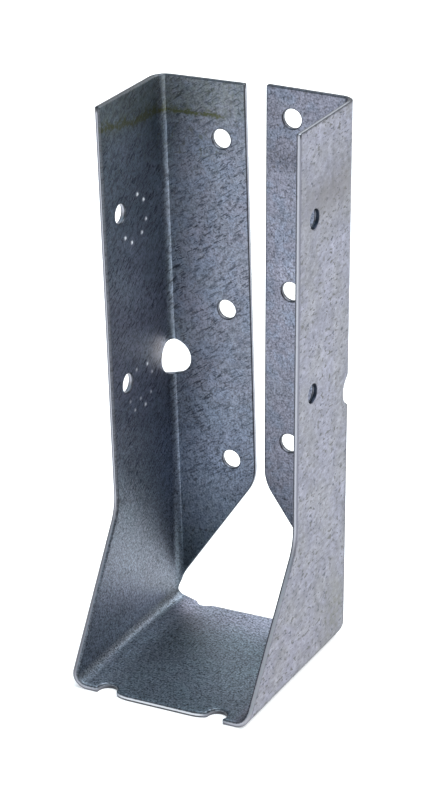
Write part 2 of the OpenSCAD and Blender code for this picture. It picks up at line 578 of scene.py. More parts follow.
def operator(operation: str, swapped: bool = False) -> Callable[["Value", Any], "Value"]:
    """An operator of Value, made as one Math node.

    Args:
        operation: the Math node's operation.
        swapped: whether the value stands second, as in 1 - value.

    Returns:
        The operator's method.
    """

    def made(self: "Value", other: Any) -> "Value":
        """One Math node on this value and another."""
        pair = (other, self) if swapped else (self, other)
        return self.graph.math(operation, *pair)

    return made


class Value:
    """A number socket. Each operator on it adds a Math node."""

    __add__, __radd__ = operator("ADD"), operator("ADD", True)
    __sub__, __rsub__ = operator("SUBTRACT"), operator("SUBTRACT", True)
    __mul__, __rmul__ = operator("MULTIPLY"), operator("MULTIPLY", True)
    __truediv__, __rtruediv__ = operator("DIVIDE"), operator("DIVIDE", True)
    most, least = operator("MAXIMUM"), operator("MINIMUM")

    def __init__(self, graph: "Graph", socket: bpy.types.NodeSocket) -> None:
        """Keep the graph and the socket.

        Args:
            graph: the graph that the socket belongs to.
            socket: an output socket.
        """
        self.graph = graph
        self.socket = socket

    def ramp(self, low: float, high: float) -> "Value":
        """A smooth rise from 0 to 1, or a fall where low is over high.

        Args:
            low: where it is 0.
            high: where it is 1.

        Returns:
            The ramp of this value.
        """
        if low > high:
            return 1 - self.ramp(high, low)
        found = self.graph.node(
            "ShaderNodeMapRange",
            {"interpolation_type": "SMOOTHSTEP"},
            {"Value": self, "From Min": low, "From Max": high},
        )
        return Value(self.graph, found.outputs["Result"])

    def bell(self, centre: float, width: float) -> "Value":
        """exp(-((value - centre) / width) ** 2), one hill round centre."""
        away = (self - centre) / width
        return self.graph.math("EXPONENT", (away * away) * -1.0)


class Graph:
    """The nodes of one material or world."""

    def __init__(self, owner: bpy.types.Material | bpy.types.World) -> None:
        """Clear the owner's nodes.

        Args:
            owner: the material or world to build in.
        """
        owner.use_nodes = True
        self.tree = owner.node_tree
        self.tree.nodes.clear()

    def node(
        self, kind: str, settings: dict[str, Any] | None = None, inputs: dict | None = None
    ) -> bpy.types.Node:
        """Make one node.

        Args:
            kind: the node's type name.
            settings: its properties and their values.
            inputs: its input sockets by name or number, each given a value or a link.

        Returns:
            The new node.
        """
        made = self.tree.nodes.new(kind)
        for name, value in (settings or {}).items():
            setattr(made, name, value)
        for key, value in (inputs or {}).items():
            socket = made.inputs[key]
            if isinstance(value, Value):
                value = value.socket
            if isinstance(value, bpy.types.NodeSocket):
                self.tree.links.new(value, socket)
            else:
                socket.default_value = value
        return made

    def surface(self, kind: str, inputs: dict, output: str = "Material") -> None:
        """Make the closing shader of this kind, and the output that shows it."""
        shader = self.node(kind, None, inputs)
        self.node(f"ShaderNodeOutput{output}", None, {"Surface": shader.outputs[0]})

    def math(self, operation: str, *values: Any) -> Value:
        """One Math node, by the name of its operation."""
        made = self.node("ShaderNodeMath", {"operation": operation}, dict(enumerate(values)))
        return Value(self, made.outputs[0])

    def attribute(self, name: str) -> Value:
        """The number that the mesh holds under this name."""
        made = self.node("ShaderNodeAttribute", {"attribute_name": name})
        return Value(self, made.outputs["Fac"])

    def mix(self, share: Any, low: Any, high: Any) -> Any:
        """One colour Mix node, its share held from 0 to 1."""
        inputs = {0: share, 6: low, 7: high}
        return self.node("ShaderNodeMix", {"data_type": "RGBA"}, inputs).outputs[2]

    def layered(self, colour: Any, *layers: tuple[Any, Any]) -> Any:
        """A colour with others laid over it in turn, each given as share and colour."""
        for share, over in layers:
            colour = self.mix(share, colour, over)
        return colour

    def scaled(self, vector: Any, by: Any) -> Any:
        """A vector or colour times a number."""
        inputs = {0: vector, "Scale": by}
        return self.node("ShaderNodeVectorMath", {"operation": "SCALE"}, inputs).outputs[0]

    def stretched(self, vector: Any, by: Any) -> Any:
        """A vector with each part times that of another."""
        made = self.node("ShaderNodeVectorMath", {"operation": "MULTIPLY"}, {0: vector, 1: by})
        return made.outputs[0]

    def turned(self, vector: Any, angle: float, stretch: tuple, shift: tuple) -> Any:
        """A pattern's coordinates, turned about Z, then shifted and stretched.

        Args:
            vector: the coordinates.
            angle: the turn, in radians.
            stretch: the factor of each part.
            shift: how far they are moved before they are stretched.

        Returns:
            The new coordinates' socket.
        """
        sizes = {"Vector": vector, "Location": shift, "Rotation": (0.0, 0.0, angle)}
        made = self.node("ShaderNodeMapping", {"vector_type": "POINT"}, sizes)
        return self.stretched(made.outputs[0], stretch)

    def noise(self, vector: Any, scale: float, detail: float, rough: float) -> Value:
        """The height of a Noise Texture."""
        sizes = {"Vector": vector, "Scale": scale, "Detail": detail, "Roughness": rough}
        return Value(self, self.node("ShaderNodeTexNoise", None, sizes).outputs["Fac"])


class Sheet:
    """What the finish knows about a point of the sheet, with its two shared patterns.

    In millimetres, flat is the place on the blank, q its distance across, r its depth,
    and up its height on a side. The rest run from 0 to 1: inner on the joist's face,
    outer on the other, depth through the sheet towards the joist, cut on a sheared wall,
    hole in a punched hole, and dot on a raised dot. drawn is flat as the outer face's
    grain is drawn out.
    """

    side_start: float = 18.6

    def __init__(self, g: Graph, stretch: tuple[float, ...]) -> None:
        """Read the mesh's maps.

        Args:
            g: the graph.
            stretch: how the patterns are stretched on the outer face.
        """
        place = g.node("ShaderNodeUVMap", {"uv_map": "blank"})
        self.flat = g.scaled(place.outputs[0], UV_MM)
        parts = g.node("ShaderNodeSeparateXYZ", None, {0: self.flat})
        self.q, self.r = Value(g, parts.outputs[0]), Value(g, parts.outputs[1])
        self.up = g.math("ABSOLUTE", self.q) - self.side_start
        self.left, self.right = self.q.ramp(1.0, -1.0), self.q.ramp(0.0, 1.0)
        self.depth, self.cut = g.attribute("depth"), g.attribute("cut")
        self.inner = self.depth.ramp(0.4, 0.6)
        self.outer = 1 - self.inner
        self.hole = g.attribute("hole")
        self.dot = g.attribute("dot") * self.inner
        self.drawn = g.stretched(self.flat, g.mix(self.inner, stretch, (1.0, 1.0, 1.0, 1.0)))
        self.mottle = g.noise(self.drawn, 0.9, 3.0, 0.7) - 0.5
        self.grain = g.noise(self.drawn, 2.4, 2.0, 0.6) - 0.5
        self.blotch = g.noise(self.flat, 0.7, 2.0, 0.6).ramp(0.42, 0.58)


# ---- Finishes ----

Colour = tuple[float, float, float, float]
# A broad hill of painted light, or of painted shade where its amount is negative: middle q and
# r, reach in q and r, and amount.
PaintedHill = tuple[float, float, float, float, float]


@dataclass(frozen=True)
class GalvanisedSteel:
    """Hot-dipped zinc on steel, a few years in stock: mottled, flecked and scuffed."""

    zinc: Colour = (0.183, 0.179, 0.202, 1.0)
    lilac: Colour = (0.176, 0.173, 0.213, 1.0)
    shaded: Colour = (0.174, 0.175, 0.218, 1.0)
    # A teal tint over the seat and the left side.
    teal_tint: Colour = (0.155, 0.190, 0.222, 1.0)
    # Pale mottling, and the painted highlight on the lit side of each stroke.
    pale: Colour = (0.31, 0.305, 0.335, 1.0)
    # Dull metal of the torn bands, and also painted shade where the folds turn under, on hole
    # walls turned away and on some cut edges.
    dull_and_shade: Colour = (0.052, 0.053, 0.060, 1.0)
    fleck: Colour = (0.022, 0.027, 0.040, 1.0)
    speck: Colour = (0.068, 0.064, 0.062, 1.0)
    scuff: Colour = (0.090, 0.096, 0.034, 1.0)
    olive: Colour = (0.135, 0.150, 0.125, 1.0)
    tan: Colour = (0.150, 0.132, 0.135, 1.0)
    # Painted highlight on the right flare's cut edge.
    flare_highlight: Colour = (0.365, 0.350, 0.375, 1.0)
    stain: Colour = (0.110, 0.108, 0.085, 1.0)
    warm: Colour = (0.36, 0.30, 0.27, 1.0)
    burnished: Colour = (0.315, 0.315, 0.35, 1.0)
    # Painted highlight on the tongue's edge and on the lit walls of the right side's holes.
    edge_highlight: Colour = (0.55, 0.55, 0.58, 1.0)
    # Painted glint on the raised dots' crests.
    painted_glint: Colour = (0.95, 0.95, 1.0, 1.0)
    # A bluer tone in patches on the flanges, and painted blue shade on the lower left.
    blue_tone_and_shade: Colour = (0.150, 0.178, 0.238, 1.0)
    fracture: Colour = (0.17, 0.168, 0.195, 1.0)
    roughness: float = 0.42
    relief: float = 0.35
    relief_height: float = 0.00006
    fleck_angle: float = -0.58
    outer_stretch: tuple[float, ...] = (1.0, 0.5, 1.0, 1.0)
    # Broad hills of painted light and shade on the inner face.
    inner_light_and_shade: tuple[PaintedHill, ...] = (
        (0.0, -8.0, 24.0, 20.0, 0.72),
        (4.0, 20.0, 14.5, 7.5, 0.92),
        (-20.4, 4.0, 1.9, 30.0, -0.56),
        (-16.4, -2.0, 3.0, 24.0, 1.00),
        (-9.0, 4.0, 5.0, 10.0, -0.18),
        (-26.0, 0.0, 4.0, 18.0, -0.25),
        (-15.0, 19.5, 5.0, 3.2, 1.00),
        (-20.3, 19.5, 2.6, 4.5, -0.45),
        (-126.0, 24.0, 5.0, 5.0, -0.30),
        (-40.0, 12.0, 12.0, 14.0, -0.12),
        (-60.0, 14.0, 14.0, 12.0, -0.28),
        (-112.0, 17.0, 16.0, 4.0, -0.22),
        (-88.0, 6.0, 22.0, 14.0, 0.25),
        (-92.0, 35.0, 60.0, 9.5, 0.66),
        (-72.0, 34.0, 14.0, 9.0, -0.14),
        (-52.0, 32.0, 16.0, 9.0, 0.75),
        (-136.0, 33.0, 8.0, 11.0, -0.12),
        (80.0, 34.0, 40.0, 12.0, 0.20),
        (123.6, 34.0, 2.4, 12.0, -0.28),
        (99.6, 34.0, 2.2, 8.0, 0.34),
        (95.0, 33.0, 1.8, 9.0, -0.20),
    )
    # Broad hills of painted light and shade on the outer face.
    outer_light_and_shade: tuple[PaintedHill, ...] = (
        (123.4, 12.0, 3.8, 13.0, -0.30),
        (112.0, 20.0, 3.0, 9.0, 0.10),
        (115.5, 16.0, 2.4, 9.0, -0.13),
        (105.0, 6.0, 5.0, 7.0, 0.06),
        (82.0, 8.0, 20.0, 12.0, 0.05),
        (27.0, 17.0, 7.0, 4.0, -0.13),
    )

    def build(self) -> bpy.types.Material:
        """Make the material.

        Returns:
            A material that reads the blank's own coordinates, so that every mark follows
            the sheet round its folds.
        """
        material = bpy.data.materials.new("galvanised_steel")
        g = Graph(material)
        s = Sheet(g, self.outer_stretch)
        flare = s.up.ramp(33.0, 22.0) * s.up.ramp(-1.0, 4.0) * s.r.ramp(10.0, 4.0)
        # Painted shade: where the lower fold turns under and the rear fold turns away, the
        # outer face is made darker, rougher and less metallic.
        at_lower_fold = s.up.bell(1.3, 1.15)
        at_rear_fold = s.r.bell(22.95, 0.7) * s.up.ramp(80.0, 50.0)
        turned = at_lower_fold.most(at_rear_fold) * s.outer
        shade = self.shade(g, s)
        colour, dark = self.flecked(g, s, g.scaled(self.coat(g, s), shade))
        colour = self.worn(g, s, colour, shade)
        colour = g.mix(turned * 0.9, colour, self.dull_and_shade)
        lost = s.right * s.depth.ramp(0.5, 0.3) * s.r.ramp(24.0, 20.0) * 0.7
        lost = lost + flare * s.left * 0.4
        colour = g.mix(s.cut.bell(0.3, 0.2) * (0.85 - lost), colour, self.dull_and_shade)
        colour = g.mix(s.cut.ramp(0.5, 0.9), colour, self.sheared(g, s, flare))
        rough = self.roughness + s.mottle * 0.2 + s.grain * 0.2 + dark * 0.15 + turned * 0.4
        height = s.mottle * 0.5 + s.grain * 0.35 - dark * 0.5
        relief = {"Strength": self.relief, "Distance": self.relief_height, "Height": height}
        bump = g.node("ShaderNodeBump", None, relief)
        coat = {
            "Base Color": colour,
            "Roughness": rough,
            "Metallic": 1 - s.dot * 0.6 - turned * 0.9,
            "Normal": bump.outputs[0],
        }
        g.surface("ShaderNodeBsdfPrincipled", coat)
        return material

    def shade(self, g: Graph, s: Sheet) -> Value:
        """How light the zinc is: mottling, grain, spangle, and broad painted light and shade.

        Args:
            g: the graph.
            s: the sheet.

        Returns:
            A factor round 1.
        """
        inputs = {"Vector": s.flat, "Scale": 1.1}
        cells = g.node("ShaderNodeTexVoronoi", {"feature": "F1"}, inputs)
        tint = g.node("ShaderNodeSeparateColor", None, {0: cells.outputs["Color"]})
        spangle = Value(g, tint.outputs[0]) - 0.5
        cloud = g.noise(s.flat, 0.06, 3.0, 0.55) - 0.5
        soft = g.noise(s.flat, 0.3, 3.0, 0.6) - 0.5
        coarse = (
            s.inner * s.r.ramp(25.0, 22.0) * s.up.ramp(60.0, 30.0) * 1.4
            - s.outer * 1.5
            - s.inner * s.left * s.up.ramp(40.0, 60.0) * 0.9
        )
        shade = 1 + cloud * 0.7 + s.mottle * 1.7 + s.grain * (2.5 + coarse)
        shade = shade + spangle * 0.10 + soft * (1 - s.inner * 0.4) * 0.85
        inner = self.painted_hills(s, self.inner_light_and_shade) * s.inner
        return shade * (1 + inner + self.painted_hills(s, self.outer_light_and_shade) * s.outer)

    def painted_hills(self, s: Sheet, light_hills: tuple[PaintedHill, ...]) -> Value:
        """The sum of broad hills of painted light and shade, each amount * bell(q) * bell(r).

        Args:
            s: the sheet.
            light_hills: the hills.

        Returns:
            How much painted light is laid there, or painted shade where it is negative.
        """
        hills = [
            s.q.bell(at_q, reach_q) * s.r.bell(at_r, reach_r) * amount
            for at_q, at_r, reach_q, reach_r, amount in light_hills
        ]
        return sum(hills[1:], hills[0])

    def coat(self, g: Graph, s: Sheet) -> Any:
        """The zinc's colour before it is shaded, cooler low down and round the folds, with a
        painted blue shade on the lower left.

        Args:
            g: the graph.
            s: the sheet.

        Returns:
            The colour's socket.
        """
        hue = g.noise(s.flat, 0.13, 2.0, 0.6) - 0.5
        side = s.r.ramp(24.0, 22.0)
        # A teal tint over the seat and the left side, weaker in places, with random variation.
        teal_share = s.q.ramp(18.5, 16.0) * (1 - s.r.ramp(21.0, 30.0) * s.up.ramp(12.0, 40.0) * 0.7)
        teal_share = teal_share * (1 - s.up.ramp(0.0, -2.0) * s.r.ramp(6.0, 19.0) * 0.85)
        teal_share = teal_share * (1 - s.up.bell(62.0, 26.0) * side * 0.75) + hue * 1.2
        teal_share = teal_share * (1 - s.up.bell(14.0, 16.0) * side * 0.5)
        # Bluer patches on the flanges, and painted blue shade on the lower left towards its
        # rear.
        blue = g.noise(s.flat, 0.22, 2.0, 0.6).ramp(0.45, 0.62) * s.r.ramp(23.0, 26.0)
        painted_blue_shade = s.up.bell(36.0, 16.0) * s.r.ramp(10.0, 22.0) * s.left
        inner = g.layered(
            self.shaded,
            (teal_share * 0.9, self.teal_tint),
            (blue * 0.5, self.blue_tone_and_shade),
            (painted_blue_shade * 0.6, self.blue_tone_and_shade),
        )
        outer = g.mix(hue.ramp(-0.15, 0.15), self.zinc, self.lilac)
        return g.mix(s.inner, outer, inner)

    def flecked(self, g: Graph, s: Sheet, colour: Any) -> tuple[Any, Value]:
        """Lay the pale mottling, the dark strokes with a painted highlight beside each, the
        specks and the pits on the zinc.

        Args:
            g: the graph.
            s: the sheet.
            colour: the colour so far.

        Returns:
            The colour's socket, and how dark the strokes and pits are.
        """
        upper_left = s.inner * s.left * s.up.ramp(18.0, 40.0)
        patch = g.noise(s.flat, 0.09, 2.0, 0.5).ramp(0.36, 0.6)
        where = upper_left * (0.45 + patch * 0.55)
        where = where * (0.72 + s.r.ramp(25.0, 21.0) * 0.18 + s.r.bell(29.0, 4.0) * 0.28)
        strokes = self.strokes(g, s, 0.0).most(self.strokes(g, s, 37.0))
        # Painted highlight: a copy of the strokes, moved aside, laid pale on their lit side.
        lit = self.strokes(g, s, 0.0, 0.3)
        broad = g.turned(s.flat, self.fleck_angle, (0.85, 0.24, 1.0), (11.0, 5.0, 0.0))
        broad = g.noise(broad, 1.0, 3.0, 0.65).ramp(0.54, 0.68) * upper_left
        pits = g.noise(s.drawn, 1.5, 1.0, 0.4).ramp(0.635, 0.69) * (0.3 + patch * 0.7)
        specks = g.noise(s.drawn, 1.25, 1.5, 0.5).ramp(0.600, 0.63) * (1 - s.inner * 0.45)
        specks = specks * (0.35 + g.noise(s.flat, 0.12, 1.0, 0.5).ramp(0.4, 0.6) * 0.65)
        dark = (strokes * where).most(pits * 0.7)
        colour = g.layered(
            colour,
            (s.mottle.ramp(0.08, 0.25) * 0.35, self.pale),
            (broad * 0.48, self.fleck),
            (specks * 0.9, self.speck),
            (lit * where * 0.34, self.pale),
            (dark * 0.88, self.fleck),
        )
        return colour, dark

    def strokes(self, g: Graph, s: Sheet, shift: float, beside: float = 0.0) -> Value:
        """Short strokes that all lie one way across the sheet.

        They are the peaks of a noise that is stretched five times along their length.

        Args:
            g: the graph.
            s: the sheet.
            shift: how far the pattern is moved, to get another set.
            beside: how far it is moved across the strokes, for the painted highlight on the
                lit side of each.

        Returns:
            1 on a stroke and 0 off it.
        """
        move = (shift + beside * 0.8, shift * 0.7 + beside * 0.6, 0.0)
        turned = g.turned(s.flat, self.fleck_angle, (1.75, 0.36, 1.0), move)
        return g.noise(turned, 1.0, 2.5, 0.55).ramp(0.595, 0.630)

    def worn(self, g: Graph, s: Sheet, colour: Any, shade: Value) -> Any:
        """Lay the scuff line, its olive cast, the stain, the warm places and a painted white
        glint on the raised dots.

        Args:
            g: the graph.
            s: the sheet.
            colour: the colour so far.
            shade: how light the zinc is.

        Returns:
            The colour's socket.
        """
        on_left = s.inner * s.left
        wander = (g.noise(s.flat, 0.35, 3.0, 0.7) - 0.5) * 1.6
        line = s.up - 113.05 - 0.167 * (15.5 - s.r).most(0.0) + wander
        scuff = line.bell(0.0, 0.40) + line.bell(0.45, 0.7) * s.blotch
        scuff = scuff + line.bell(0.6, 1.3) * s.r.ramp(23.5, 20.0) * s.blotch
        scuff = scuff.least(1.0) * on_left * s.r.ramp(39.8, 37.5)
        scuff = scuff * g.noise(s.flat, 1.6, 2.0, 0.5).ramp(0.3, 0.5)
        scribble = g.math("ABSOLUTE", g.noise(s.flat, 0.30, 1.0, 0.5) - 0.5).ramp(0.022, 0.004)
        scribble = scribble * g.noise(s.flat, 0.5, 1.0, 0.5).ramp(0.42, 0.58)
        scribble = scribble * s.up.bell(107.0, 5.0) * on_left * 0.6
        olive = s.up.ramp(110.0, 115.0) * on_left * (0.3 + s.blotch * 0.4)
        stain = s.up.bell(9.0, 9.0) * s.r.bell(18.0, 5.0) * s.outer * (0.3 + s.blotch)
        glow = s.r.bell(18.8, 2.8) * s.up.bell(61.3, 3.2) * on_left
        band = s.up.bell(104.8, 4.0) * s.r.ramp(-6.0, 14.0) * s.outer * s.right
        return g.layered(
            colour,
            (olive * 0.6, g.scaled(self.olive[:3], shade)),
            (scuff.most(scribble) * 0.85, self.scuff),
            (stain * 0.45, self.stain),
            (glow * 0.3, self.warm),
            # Painted glint: the raised dots' crests laid near white.
            (s.dot, self.painted_glint),
            (band * 0.35, self.tan),
        )

    def sheared(self, g: Graph, s: Sheet, flare: Value) -> Any:
        """The wall that the press cut: a burnished band beside a torn one, with painted
        highlights and painted shade on some edges and hole walls.

        Args:
            g: the graph.
            s: the sheet.
            flare: 1 on the slanting front edges.

        Returns:
            The colour's socket.
        """
        tongue = s.up.ramp(-8.3, -9.5) * s.r.ramp(0.0, -5.0)
        crown = s.up.ramp(119.2, 120.0)
        notch = s.up.bell(-5.75, 2.3) * s.r.ramp(0.0, -5.0) * s.depth.ramp(0.75, 0.6)
        above_knee = s.left * s.r.ramp(5.0, 1.0) * s.up.ramp(26.0, 38.0)
        rim = s.right * s.depth.ramp(0.74, 0.60)
        # Painted highlight on the lit walls of the right side's holes.
        lit = s.hole * s.right * s.r.ramp(22.0, 20.0)
        # Painted shade on hole walls turned away: the inner rims on the right, and the holes
        # in the folds and flanges.
        hole_shade = s.hole * rim.most(s.r.ramp(23.0, 26.0)) * 0.85
        top = crown * (1 - s.right * s.r.ramp(24.0, 20.0))
        dim = s.r.ramp(22.0, 27.0).most(crown).most(tongue)
        # The tongue's edge and the right flare's cut get a painted highlight, and the left
        # flare's cut a thin painted shade.
        return g.layered(
            self.burnished,
            (flare * s.left * 0.35, self.fracture),
            (tongue, self.edge_highlight),
            (s.depth.ramp(0.36, 0.26), g.mix(dim, self.fracture, self.dull_and_shade)),
            (flare * s.right, self.flare_highlight),
            (above_knee * s.depth.ramp(0.44, 0.54), self.dull_and_shade),
            (lit, self.edge_highlight),
            (top.most(hole_shade).most(notch), self.dull_and_shade),
            (lit * rim, self.fleck),
        )


@dataclass(frozen=True)
class StudioFloor:
    """Plain pale floor with a very faint unevenness."""

    low: Colour = (0.74, 0.74, 0.74, 1.0)
    high: Colour = (0.78, 0.78, 0.78, 1.0)
    roughness: float = 0.9
    glow: float = 0.42

    def build(self) -> bpy.types.Material:
        """Make the material.

        Returns:
            A material that reads the floor's own coordinates.
        """
        material = bpy.data.materials.new("studio_floor")
        g = Graph(material)
        place = g.node("ShaderNodeTexCoord")
        cloud = g.noise(place.outputs["Object"], 3.0, 2.0, 0.5)
        paint = {
            "Base Color": g.mix(cloud, self.low, self.high),
            "Roughness": self.roughness,
            "Emission Color": (1.0, 1.0, 1.0, 1.0),
            "Emission Strength": self.glow,
        }
        g.surface("ShaderNodeBsdfPrincipled", paint)
        return material


# ---- The hanger ----


@dataclass
class Hanger:
    """The folded sheet: both faces and the sheared wall that joins them."""

    blank: Blank
    finish: GalvanisedSteel
    # Each ring of the sheared wall: distance in from the outline, depth from the outer
    # face, and how far it counts as sheared metal.
    profile: tuple[tuple[float, float, float], ...] = (
        (0.36, 1.20, 0.0),
        (0.22, 1.18, 0.15),
        (0.10, 1.09, 0.3),
        (0.03, 0.90, 0.3),
        (0.0, 0.73, 1.0),
        (0.0, 0.40, 1.0),
        (0.04, 0.34, 1.0),
        (0.06, 0.06, 0.8),
        (0.11, 0.0, 0.3),
        (0.26, 0.0, 0.0),
    )
    # The rings at the torn band's edge, and the one at its foot.
    torn_rings: tuple[int, ...] = (5, 6)
    torn_foot: int = 7
    dimple_width: float = 0.32
    dimple_rise: float = 0.30
    # Small raised dots round the left joist holes: depth r, height and strength.
    dimples: tuple[tuple[float, float, float], ...] = (
        (12.95, 98.1, 1.0), (15.4, 96.2, 1.0), (16.1, 91.8, 0.8), (14.2, 89.4, 0.8),
        (7.3, 90.4, 0.9), (9.9, 88.6, 1.0), (9.5, 60.4, 0.4), (14.0, 60.0, 0.6),
        (15.9, 57.5, 0.4), (15.1, 53.2, 0.4), (10.7, 53.4, 0.4), (12.6, 51.3, 0.6),
        (6.4, 54.3, 0.3), (8.2, 51.7, 0.4),
    )
    dimple_rings: tuple[float, ...] = (0.16, 0.34, 0.6)
    dimple_clear: float = 0.85
    # How strongly the dots' crests are painted with a white glint.
    dimple_gleam: float = 2.2
    edge_clear: float = 0.2
    ragged_depth: float = 0.07
    ragged_inset: float = 0.02
    made: bpy.types.Object | None = None

    def dimple_places(self) -> np.ndarray:
        """Blank points of the raised dots.

        Returns:
            One row (q, r) for each.
        """
        at = np.array(self.dimples)
        q = self.blank.folding.across(at[:, 1], Hand.LEFT)
        return np.stack([-q, at[:, 0]], axis=1)

    def swell(self, flat: np.ndarray) -> tuple[np.ndarray, np.ndarray]:
        """How far the sheet stands in from its plane: slow waves, and the raised dots.

        The waves are sums of sines up to 0.05 mm high. Each dot is rise * exp(-(distance
        / width) ** 2).

        Args:
            flat: blank points.

        Returns:
            The distance for each point, never negative, and how much it is a dot.
        """
        q, r = flat[:, 0], flat[:, 1]
        wave = np.sin(q * 0.11 + 0.7 * np.sin(r * 0.13)) + np.sin(r * 0.19 + q * 0.05 + 1.0)
        wave = 0.012 * (wave + 2.0)
        away = ((flat[:, None] - self.dimple_places()[None]) ** 2).sum(2)
        strength = np.array(self.dimples)[:, 2]
        dots = (np.exp(-away / self.dimple_width**2) * strength).sum(1)
        return wave + self.dimple_rise * dots, dots

    def rings(self, loop: np.ndarray, number: int) -> tuple[np.ndarray, np.ndarray]:
        """The wall's rings along one loop.

        Ring k lies at loop + inset_k * inward normal, at depth_k. The torn band's edge
        wanders by a blurred scatter.

        Args:
            loop: the sheared outline.
            number: the loop's number, which seeds its scatter.

        Returns:
            Blank points (rings, points, 2) and depths (rings, points).
        """
        normal = inward(loop)
        index = np.arange(len(loop))
        ragged = hashed(index, number + 1.0)
        ragged = (ragged + np.roll(ragged, 1) + np.roll(ragged, -1)) / 3
        flat = np.stack([loop + inset * normal for inset, _, _ in self.profile])
        depth = np.stack([np.full(len(loop), d) for _, d, _ in self.profile])
        depth[list(self.torn_rings)] += self.ragged_depth * ragged
        flat[self.torn_foot] += self.ragged_inset * ragged[:, None] * normal
        return flat, depth

    def skin(self, edges: list[np.ndarray]) -> tuple[np.ndarray, np.ndarray]:
        """One face in the flat: the blank's grid, with a star of points on each dot.

        Args:
            edges: the face's loops.

        Returns:
            Its points, the loops' first, and its triangles.
        """
        spots = self.dimple_places()
        angle = np.arange(8) * math.pi / 4
        star = np.stack([np.cos(angle), np.sin(angle)], axis=1)
        near = np.vstack([np.zeros((1, 2)), *(star * reach for reach in self.dimple_rings)])
        grid = self.blank.grid()
        grid = grid[nearest(grid, spots) > self.dimple_clear]
        points = np.vstack([grid, (spots[:, None] + near[None]).reshape(-1, 2)])
        points = points[inside(points, edges)]
        points = points[nearest(points, np.vstack(edges)) > self.edge_clear]
        return self.triangulate(edges, points)

    def wall(self, rings: list[tuple[np.ndarray, np.ndarray]], top: int) -> list[np.ndarray]:
        """The rings between both faces, and the quads that join them all.

        Args:
            rings: the points and depths of every loop's rings.
            top: the number of points of one face.

        Returns:
            Blank points, depths, how far each counts as sheared, whether it is in a hole,
            and the quads.
        """
        shares = np.array([share for _, _, share in self.profile[1:-1]])
        parts = []
        first, base = 0, 2 * top
        for flat, depth in rings:
            count, size = flat.shape[1], shares.size * flat.shape[1]
            row = first + np.arange(count)
            index = np.vstack([row, base + np.arange(size).reshape(-1, count), top + row])
            ahead = np.roll(index, -1, axis=1)
            quads = np.stack([index[:-1], index[1:], ahead[1:], ahead[:-1]], axis=2)
            holed = np.full(size, float(first > 0))
            middle = flat[1:-1].reshape(-1, 2), depth[1:-1].ravel()
            parts.append((*middle, np.repeat(shares, count), holed, quads.reshape(-1, 4)))
            first, base = first + count, base + size
        return [np.concatenate(part) for part in zip(*parts)]

    def build(self) -> bpy.types.Object:
        """Make the mesh, its maps and its object.

        Returns:
            The finished object, with its place in its mesh.
        """
        fold = self.blank.folding
        loops = [self.blank.outline(), *self.blank.holes()]
        rings = [self.rings(loop, number) for number, loop in enumerate(loops)]
        skin, faces = self.skin([flat[0] for flat, _ in rings])
        top = len(skin)
        wall_flat, wall_depth, wall_cut, wall_hole, quads = self.wall(rings, top)
        flat = np.vstack([skin, skin, wall_flat])
        depth = np.concatenate([np.full(top, fold.thickness), np.zeros(top), wall_depth])
        share = depth / fold.thickness
        swell, dots = self.swell(flat)
        swell = swell - fold.crease(flat[:, 1]) * depth / fold.thickness
        places = fold.fold(flat, depth + swell)
        triangles = np.vstack([faces, faces[:, ::-1] + top])

        mesh = bpy.data.meshes.new("hanger_sheet")
        mesh.from_pydata(places * METRES, [], [*triangles.tolist(), *quads.tolist()])
        corner = np.zeros(len(mesh.loops), np.int32)
        mesh.loops.foreach_get("vertex_index", corner)
        uv = mesh.uv_layers.new(name="blank")
        uv.data.foreach_set("uv", (flat[corner] / UV_MM).astype(np.float32).ravel())
        for name, values in {
            "depth": share,
            "cut": np.concatenate([np.zeros(2 * top), wall_cut]),
            "hole": np.concatenate([np.zeros(2 * top), wall_hole]),
            # The share of the painted glint on each raised dot.
            "dot": np.minimum(dots * self.dimple_gleam, 1.0),
        }.items():
            layer = mesh.attributes.new(name, "FLOAT", "POINT")
            layer.data.foreach_set("value", values.astype(np.float32))
        mesh.polygons.foreach_set("use_smooth", np.ones(len(mesh.polygons), bool))
        mesh.validate()
        mesh.update()
        self.made = bpy.data.objects.new("hanger_sheet", mesh)
        bpy.context.scene.collection.objects.link(self.made)
        return self.made

    def triangulate(
        self, loops: list[np.ndarray], points: np.ndarray
    ) -> tuple[np.ndarray, np.ndarray]:
        """Fill the sheet between its loops with triangles that keep every loop's edges.

        Args:
            loops: the outer loop, then the holes.
            points: the points inside.

        Returns:
            All points, the loops' first, and the triangles, anticlockwise.
        """
        edge = np.vstack(loops)
        every = np.vstack([edge, points])
        links, start = [], 0
        for loop in loops:
            row = np.arange(len(loop)) + start
            links.append(np.stack([row, np.roll(row, -1)], axis=1))
            start += len(loop)
        links = np.vstack(links).tolist()
        found = delaunay_2d_cdt(every.tolist(), links, [], 0, 1e-7, True)
        if len(found[0]) != len(every):
            raise ValueError("the blank's lines cross or repeat a point")
        source = np.array([ids[0] for ids in found[3]])
        faces = source[np.array(found[2])]
        doubt = (faces < len(edge)).all(axis=1)
        middle = every[faces[doubt]].mean(axis=1)
        keep = np.ones(len(faces), bool)
        keep[doubt] = inside(middle, loops)
        faces = faces[keep]
        a, b, c = every[faces[:, 0]], every[faces[:, 1]], every[faces[:, 2]]
        area = (b - a)[:, 0] * (c - a)[:, 1] - (b - a)[:, 1] * (c - a)[:, 0]
        faces = np.where((area < 0)[:, None], faces[:, ::-1], faces)
        return every, faces

    def dress(self) -> None:
        """Give the sheet its finish and its place in the frame."""
        self.made.data.materials.append(self.finish.build())
        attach(self.made, "root")
        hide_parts("hanger")


# ---- The studio ----


